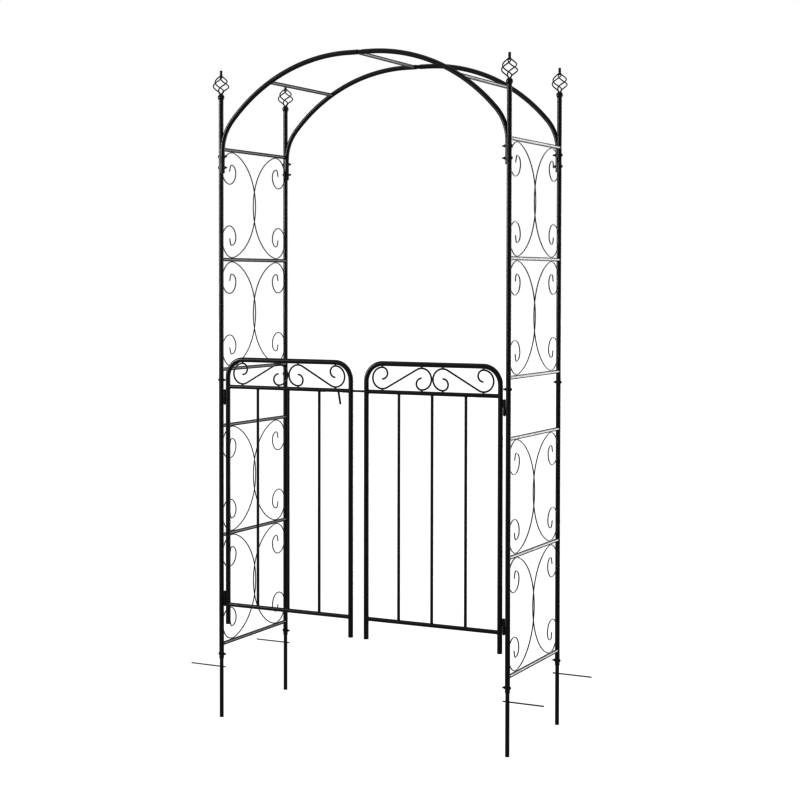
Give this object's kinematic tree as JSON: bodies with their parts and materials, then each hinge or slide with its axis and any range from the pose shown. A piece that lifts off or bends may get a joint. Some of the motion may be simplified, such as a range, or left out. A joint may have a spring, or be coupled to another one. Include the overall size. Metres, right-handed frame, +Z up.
{
  "type": "metal trellis arch",
  "caption": "Round-topped garden arch of black coated steel tube with scroll-filled side panels, cage finials, ground stakes and a double gate with a sliding latch.",
  "frame": {"origin": "middle of the four stakes' rectangle, at the height of the stake tips", "axes": "+Z up, +X to the right seen from the gate side, +Y from the gates to the back"},
  "size_m": [1.334, 0.493, 2.295],
  "materials": {
    "coated_steel": "semi-gloss black powder coat",
    "coated_wire": "semi-gloss black powder coat on wire",
    "black_zinc": "black zinc plated fasteners"
  },
  "bodies": {
    "arch": {"left_front_upper_post": "coated_steel", "left_front_lower_post": "coated_steel", "left_front_ground_stake": "coated_steel", "left_front_finial_ball": "coated_steel", "left_front_finial_cage": "coated_wire", "right_front_upper_post": "coated_steel", "right_front_lower_post": "coated_steel", "right_front_ground_stake": "coated_steel", "right_front_finial_ball": "coated_steel", "right_front_finial_cage": "coated_wire", "left_back_upper_post": "coated_steel", "left_back_lower_post": "coated_steel", "left_back_ground_stake": "coated_steel", "left_back_finial_ball": "coated_steel", "left_back_finial_cage": "coated_wire", "right_back_upper_post": "coated_steel", "right_back_lower_post": "coated_steel", "right_back_ground_stake": "coated_steel", "right_back_finial_ball": "coated_steel", "right_back_finial_cage": "coated_wire", "left_anchor_rods": "coated_wire", "right_anchor_rods": "coated_wire", "front_arch_left_half": "coated_steel", "front_arch_right_half": "coated_steel", "back_arch_left_half": "coated_steel", "back_arch_right_half": "coated_steel", "left_arch_crossbar": "coated_steel", "middle_arch_crossbar": "coated_steel", "right_arch_crossbar": "coated_steel", "left_lower_rungs": "coated_steel", "left_lower_scrolls": "coated_wire", "left_upper_rungs": "coated_steel", "left_upper_scrolls": "coated_wire", "right_lower_rungs": "coated_steel", "right_lower_scrolls": "coated_wire", "right_upper_rungs": "coated_steel", "right_upper_scrolls": "coated_wire", "post_bolts": "black_zinc", "post_nuts": "black_zinc", "arch_foot_bolts": "black_zinc", "arch_foot_nuts": "black_zinc", "crown_screws": "black_zinc", "left_post_hinge_knuckles": "coated_steel", "right_post_hinge_knuckles": "coated_steel"},
    "left_gate": {"left_gate_frame": "coated_steel", "left_gate_upper_rail": "coated_steel", "left_gate_bottom_rail": "coated_steel", "left_gate_balusters": "coated_steel", "left_gate_scrolls": "coated_wire", "left_gate_hinge_knuckles": "coated_steel", "left_gate_hinge_pins": "black_zinc"},
    "right_gate": {"right_gate_frame": "coated_steel", "right_gate_upper_rail": "coated_steel", "right_gate_bottom_rail": "coated_steel", "right_gate_balusters": "coated_steel", "right_gate_scrolls": "coated_wire", "right_gate_hinge_knuckles": "coated_steel", "right_gate_hinge_pins": "black_zinc"},
    "latch_bolt": {"latch_bolt": "coated_wire"}
  },
  "joints": [
    {"name": "left_gate_hinge", "type": "hinge", "parent": "arch", "child": "left_gate", "pos_m": [-0.52825, -0.219, 0.77], "axis": [0, 0, -1], "range_deg": [-85, 105]},
    {"name": "right_gate_hinge", "type": "hinge", "parent": "arch", "child": "right_gate", "pos_m": [0.52825, -0.219, 0.77], "axis": [0, 0, 1], "range_deg": [-85, 105]},
    {"name": "latch_slide", "type": "slide", "parent": "left_gate", "child": "latch_bolt", "axis": [1, 0, 0], "range_m": [-0.045, 0.012]}
  ]
}
